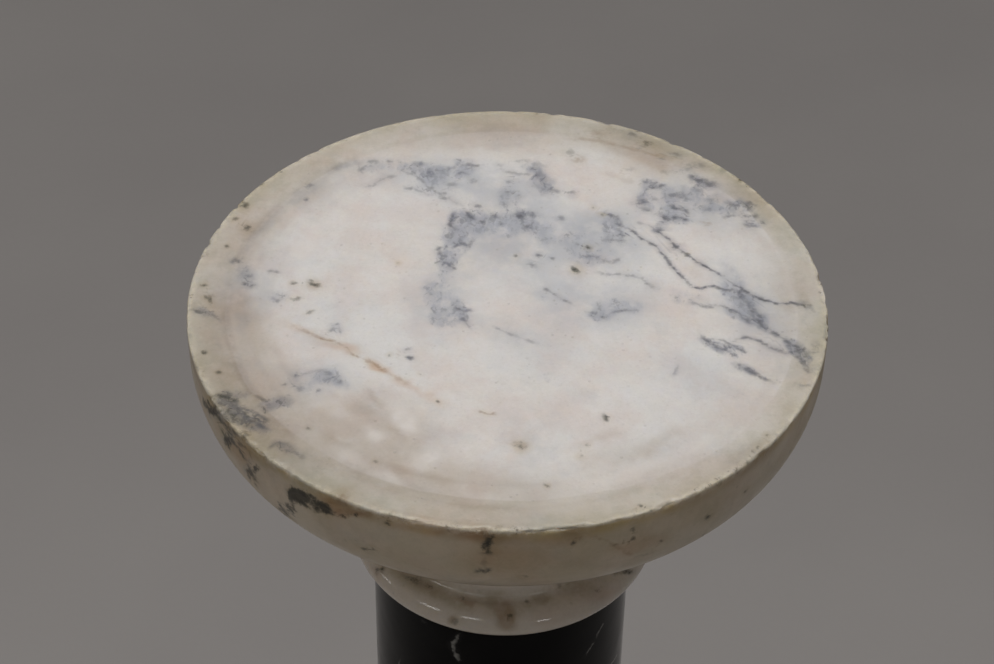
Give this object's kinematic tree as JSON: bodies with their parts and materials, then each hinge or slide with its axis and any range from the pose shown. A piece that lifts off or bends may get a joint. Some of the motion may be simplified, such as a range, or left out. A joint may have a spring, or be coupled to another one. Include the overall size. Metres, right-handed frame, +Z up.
{
  "type": "marble pedestal column",
  "caption": "Round marble pedestal column: a white veined turned capital with a flat top, a slim black veined shaft and a white turned base.",
  "frame": {"origin": "floor, under the middle of the base", "axes": "+Z up along the column, -Y towards the side that the picture was taken from"},
  "size_m": [0.28, 0.28, 1.05],
  "materials": {
    "white_marble": "worn polish, blue-grey and brown veins",
    "black_marble": "polished, thin pale veins"
  },
  "bodies": {
    "root": {"capital": "white_marble", "shaft": "black_marble", "base": "white_marble"}
  },
  "joints": []
}
